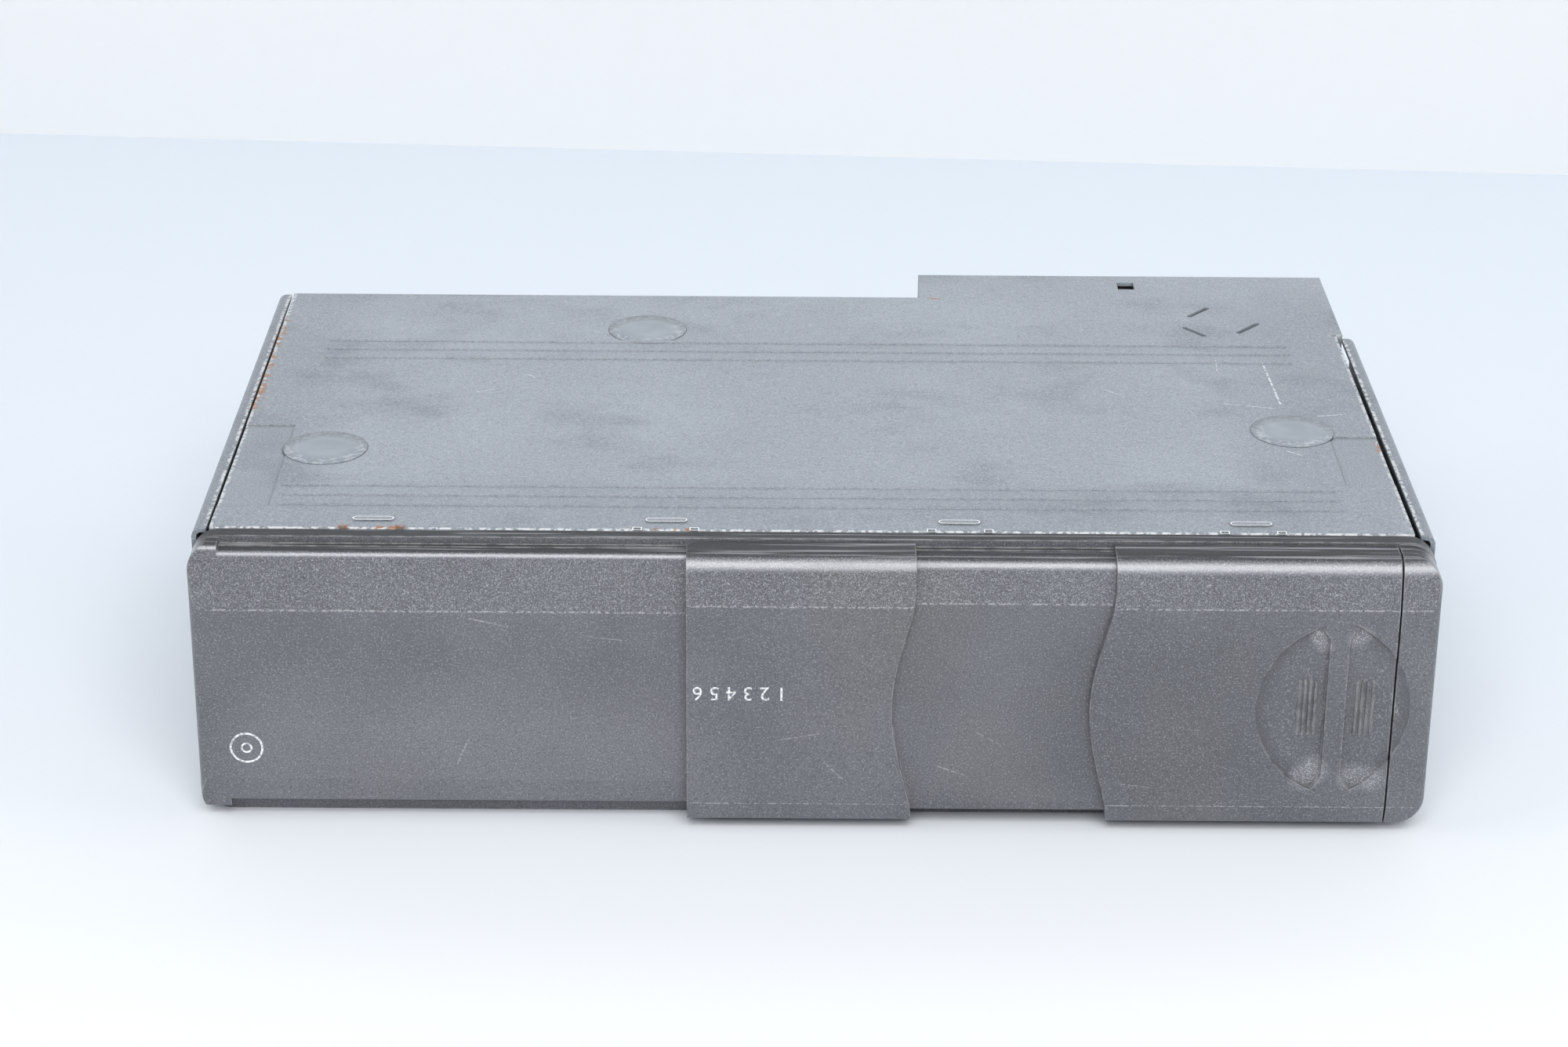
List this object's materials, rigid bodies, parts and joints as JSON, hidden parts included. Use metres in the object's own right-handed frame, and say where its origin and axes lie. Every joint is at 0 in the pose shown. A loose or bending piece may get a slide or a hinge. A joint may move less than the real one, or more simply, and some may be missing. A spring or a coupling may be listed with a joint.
{
  "type": "car cd changer",
  "caption": "boxy disc changer for a car with a telescoping front door, steel case, disc magazine with sliding trays and a lifting playing unit",
  "frame": {"origin": "middle of the whole box, at the level of the face it lies on", "axes": "+X to the right seen from the door, +Y to the connector at the back, +Z to the ribbed steel base, because the unit lies upside down as in the picture"},
  "size_m": [0.255, 0.1668, 0.0635],
  "materials": {
    "front_plastic": "fine-grained charcoal moulding",
    "case_steel": "satin plated sheet",
    "plate_steel": "semi-gloss coated sheet, blue-grey",
    "seal_film": "grey self-adhesive film",
    "nut_steel": "zinc plated",
    "rear_shell": "satin plated sheet",
    "socket_plastic": "matt",
    "contact": "plated",
    "magazine_plastic": "satin",
    "tray_plastic": "satin",
    "inner_steel": "zinc plated sheet",
    "damper_rubber": "matt",
    "motor_steel": "plated can",
    "rod_steel": "ground",
    "pinion_brass": "machined",
    "gear_plastic": "natural",
    "dark_plastic": "satin",
    "pickup_body": "die cast",
    "lens_glass": "coated",
    "board": "solder mask",
    "spacer": "turned",
    "chip": "moulded"
  },
  "bodies": {
    "case": {"case_cover": "case_steel", "base_plate": "plate_steel", "front_bezel": "front_plastic", "hole_stickers": "seal_film", "side_nuts": "nut_steel", "case_screws": "nut_steel", "rear_housing": "rear_shell", "rear_socket": "socket_plastic", "socket_pins": "contact", "chassis": "inner_steel", "magazine_cage": "inner_steel", "case_dampers": "damper_rubber", "lift_motor": "motor_steel", "main_board": "board", "board_posts": "spacer", "board_parts": "chip"},
    "inner_door": {"door_inner": "front_plastic"},
    "outer_door": {"door_outer": "front_plastic"},
    "magazine": {"magazine_shell": "magazine_plastic"},
    "eject_key": {"eject_button": "dark_plastic", "eject_spring": "rod_steel"},
    "eject_crank": {"eject_lever": "inner_steel"},
    "lift": {"lift_frame": "inner_steel", "unit_dampers": "damper_rubber", "unit_base": "inner_steel", "guide_rods": "rod_steel", "spindle_motor": "motor_steel", "sled_motor": "motor_steel"},
    "cam": {"cam_slide": "inner_steel"},
    "lift_wheel": {"lift_gear": "gear_plastic"},
    "lift_pinion": {"lift_motor_pinion": "pinion_brass"},
    "disc_drive": {"turntable": "dark_plastic"},
    "pickup": {"pickup_sled": "pickup_body", "pickup_lens": "lens_glass"},
    "sled_wheel": {"sled_gear": "gear_plastic"},
    "sled_pinion": {"sled_motor_pinion": "pinion_brass"},
    "clamp": {"clamp_arm": "inner_steel"},
    "clamp_disc": {"clamper": "dark_plastic"},
    "tray_1": {"disc_tray_1": "tray_plastic"},
    "tray_2": {"disc_tray_2": "tray_plastic"},
    "tray_3": {"disc_tray_3": "tray_plastic"},
    "tray_4": {"disc_tray_4": "tray_plastic"},
    "tray_5": {"disc_tray_5": "tray_plastic"},
    "tray_6": {"disc_tray_6": "tray_plastic"}
  },
  "joints": [
    {"name": "inner_door_slide", "type": "slide", "parent": "case", "child": "inner_door", "axis": [1, 0, 0], "range_m": [-0.0954, 0]},
    {"name": "outer_door_slide", "type": "slide", "parent": "inner_door", "child": "outer_door", "axis": [1, 0, 0], "range_m": [-0.0404, 0]},
    {"name": "magazine_slide", "type": "slide", "parent": "case", "child": "magazine", "axis": [0, -1, 0], "range_m": [0, 0.005]},
    {"name": "tray_1_slide", "type": "slide", "parent": "magazine", "child": "tray_1", "axis": [1, 0, 0], "range_m": [-0.104, 0]},
    {"name": "tray_2_slide", "type": "slide", "parent": "magazine", "child": "tray_2", "axis": [1, 0, 0], "range_m": [-0.104, 0]},
    {"name": "tray_3_slide", "type": "slide", "parent": "magazine", "child": "tray_3", "axis": [1, 0, 0], "range_m": [-0.104, 0]},
    {"name": "tray_4_slide", "type": "slide", "parent": "magazine", "child": "tray_4", "axis": [1, 0, 0], "range_m": [-0.104, 0]},
    {"name": "tray_5_slide", "type": "slide", "parent": "magazine", "child": "tray_5", "axis": [1, 0, 0], "range_m": [-0.104, 0]},
    {"name": "tray_6_slide", "type": "slide", "parent": "magazine", "child": "tray_6", "axis": [1, 0, 0], "range_m": [-0.104, 0]},
    {"name": "eject_press", "type": "slide", "parent": "case", "child": "eject_key", "axis": [0, 1, 0], "range_m": [0, 0.0025], "stiffness_N_per_m": 150, "springref_m": -0.002},
    {"name": "eject_crank_turn", "type": "hinge", "parent": "case", "child": "eject_crank", "pos_m": [0.088, -0.03935, 0], "axis": [0, 0, 1], "range_deg": [0, 14.4]},
    {"name": "lift_slide", "type": "slide", "parent": "case", "child": "lift", "axis": [0, 0, -1], "range_m": [0, 0.025]},
    {"name": "cam_move", "type": "slide", "parent": "case", "child": "cam", "axis": [-1, 0, 0], "range_m": [0, 0.024]},
    {"name": "lift_wheel_turn", "type": "hinge", "parent": "case", "child": "lift_wheel", "pos_m": [-0.042, -0.01535, 0], "axis": [0, 0, 1], "range_deg": [-229.5, 0]},
    {"name": "lift_pinion_turn", "type": "hinge", "parent": "case", "child": "lift_pinion", "pos_m": [-0.042, 0.00315, 0], "axis": [0, 0, 1], "range_deg": [0, 1467]},
    {"name": "disc_spin", "type": "hinge", "parent": "lift", "child": "disc_drive", "pos_m": [-0.0545, -0.00335, 0], "axis": [0, 0, 1], "continuous": true},
    {"name": "sled_slide", "type": "slide", "parent": "lift", "child": "pickup", "axis": [-1, 0, 0], "range_m": [0, 0.032]},
    {"name": "sled_wheel_turn", "type": "hinge", "parent": "lift", "child": "sled_wheel", "pos_m": [-0.084, -0.02975, 0], "axis": [0, 0, 1], "range_deg": [0, 458.5]},
    {"name": "sled_pinion_turn", "type": "hinge", "parent": "lift", "child": "sled_pinion", "pos_m": [-0.084, -0.04125, 0], "axis": [0, 0, 1], "range_deg": [-1650.5, 0]},
    {"name": "clamp_swing", "type": "hinge", "parent": "lift", "child": "clamp", "pos_m": [-0.1185, -0.00335, 0.0425], "axis": [0, -1, 0], "range_deg": [0, 1.9]},
    {"name": "clamp_disc_spin", "type": "hinge", "parent": "clamp", "child": "clamp_disc", "pos_m": [-0.0545, -0.00335, 0], "axis": [0, 0, 1], "continuous": true}
  ],
  "couplings": [
    {"joint": "cam_move", "follows": "lift_slide", "ratio": 0.96},
    {"joint": "lift_wheel_turn", "follows": "lift_slide", "rad_per_m": -160},
    {"joint": "lift_pinion_turn", "follows": "lift_slide", "rad_per_m": 1024},
    {"joint": "sled_wheel_turn", "follows": "sled_slide", "rad_per_m": 250},
    {"joint": "sled_pinion_turn", "follows": "sled_slide", "rad_per_m": -900},
    {"joint": "eject_crank_turn", "follows": "eject_press", "rad_per_m": 100}
  ]
}
